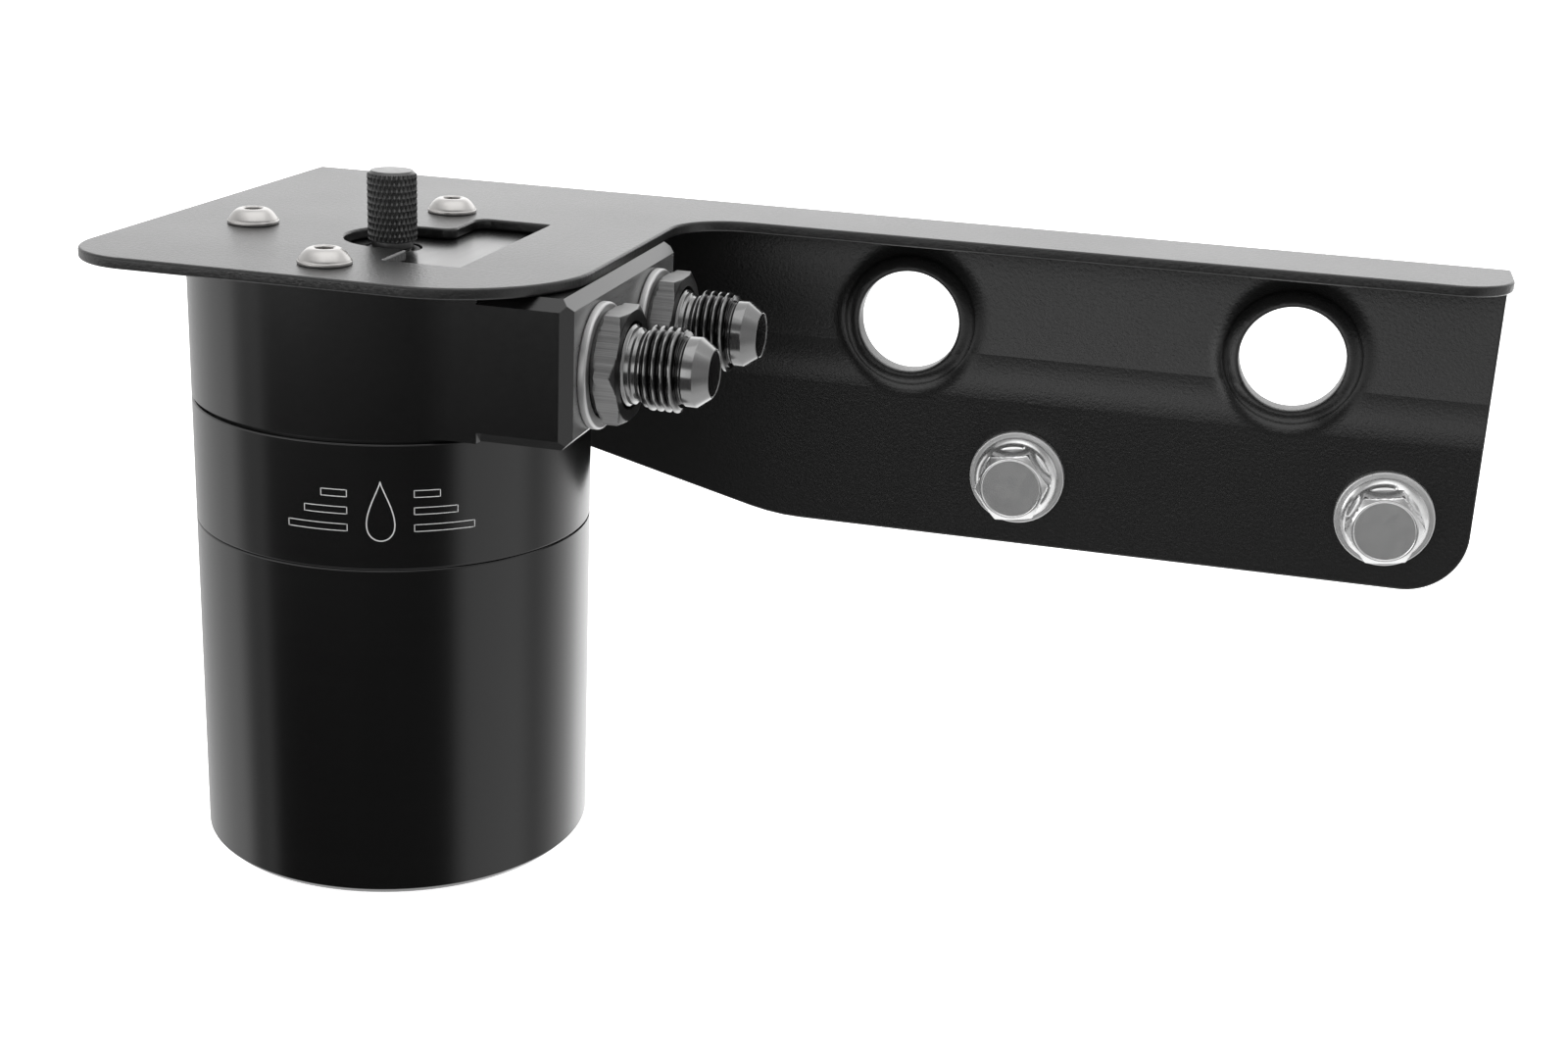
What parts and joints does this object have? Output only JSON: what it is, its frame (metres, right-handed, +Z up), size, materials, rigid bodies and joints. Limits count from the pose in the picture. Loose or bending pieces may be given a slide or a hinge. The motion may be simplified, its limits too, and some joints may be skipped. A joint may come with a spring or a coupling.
{
  "type": "oil catch can",
  "caption": "Round engine oil catch can with a screw-on cup, knurled dipstick and two flare fittings, hung from a bent sheet-steel bracket.",
  "frame": {"origin": "midway between the two mounting bolts, on the back face of the bracket's flange", "axes": "+X along the bracket away from the can, +Y out of the back face into the wall, +Z up"},
  "size_m": [0.2385, 0.1202, 0.1232],
  "materials": {
    "powder_coat": "fine-textured black powder coat",
    "black_anodised": "satin black anodised",
    "gloss_anodised": "gloss black anodised",
    "stainless": "stainless steel",
    "zinc": "zinc plated",
    "bare_aluminium": "bare soft aluminium",
    "seal_rubber": "matte nitrile rubber"
  },
  "bodies": {
    "can": {"mounting_bracket": "powder_coat", "bracket_screws": "stainless", "mounting_bolts": "zinc", "flat_washers": "zinc", "head": "black_anodised", "head_o_ring": "seal_rubber", "collar_ring": "black_anodised", "inlet_fitting": "gloss_anodised", "outlet_fitting": "gloss_anodised", "inlet_crush_washer": "bare_aluminium", "outlet_crush_washer": "bare_aluminium", "drop_tube": "bare_aluminium", "upper_baffle": "bare_aluminium", "filter_mesh": "stainless", "lower_baffle": "bare_aluminium", "baffle_circlip": "zinc"},
    "cup_seal": {"cup_o_ring": "seal_rubber"},
    "cup": {"cup": "black_anodised"},
    "dipstick_seal": {"dipstick_o_ring": "seal_rubber"},
    "dipstick": {"dipstick_knob": "black_anodised", "dipstick_rod": "stainless"}
  },
  "joints": [
    {"name": "cup_travel", "type": "slide", "parent": "can", "child": "cup_seal", "axis": [0, 0, -1], "range_m": [0, 0.006]},
    {"name": "cup_turn", "type": "hinge", "parent": "cup_seal", "child": "cup", "pos_m": [-0.14175, -0.0658, -0.0613], "axis": [0, 0, -1], "range_deg": [0, 1080]},
    {"name": "dipstick_travel", "type": "slide", "parent": "can", "child": "dipstick_seal", "axis": [0, 0, 1], "range_m": [0, 0.005]},
    {"name": "dipstick_turn", "type": "hinge", "parent": "dipstick_seal", "child": "dipstick", "pos_m": [-0.14175, -0.0658, 0.05], "axis": [0, 0, 1], "range_deg": [0, 1800]}
  ],
  "couplings": [
    {"joint": "cup_travel", "follows": "cup_turn", "m_per_rad": 0.000318},
    {"joint": "dipstick_turn", "follows": "dipstick_travel", "rad_per_m": 6283.2}
  ]
}
